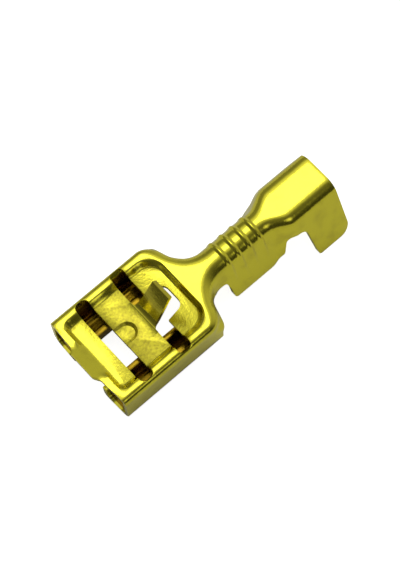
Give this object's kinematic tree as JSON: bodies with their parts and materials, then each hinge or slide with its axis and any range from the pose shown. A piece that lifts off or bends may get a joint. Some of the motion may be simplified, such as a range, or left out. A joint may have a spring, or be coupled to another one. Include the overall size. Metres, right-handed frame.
{
  "type": "female spade terminal",
  "caption": "Female spade terminal folded from brass sheet: rolled box with pressed floor, windows, lock tongue and flared lip, then an open conductor barrel and an open insulation barrel.",
  "frame": {"origin": "middle of the tab slot in the plane of the mouth, on the terminal's plane of symmetry", "axes": "+X from the mouth to the wire end, +Z out of the panel on the lock tongue's side, +Y across"},
  "size_m": [0.0209, 0.0076, 0.0064],
  "materials": {
    "brass": "bright rolled strip with fine brush marks, faint scratches and slightly mottled pressed floor"
  },
  "bodies": {
    "root": {"terminal": "brass"}
  },
  "joints": []
}
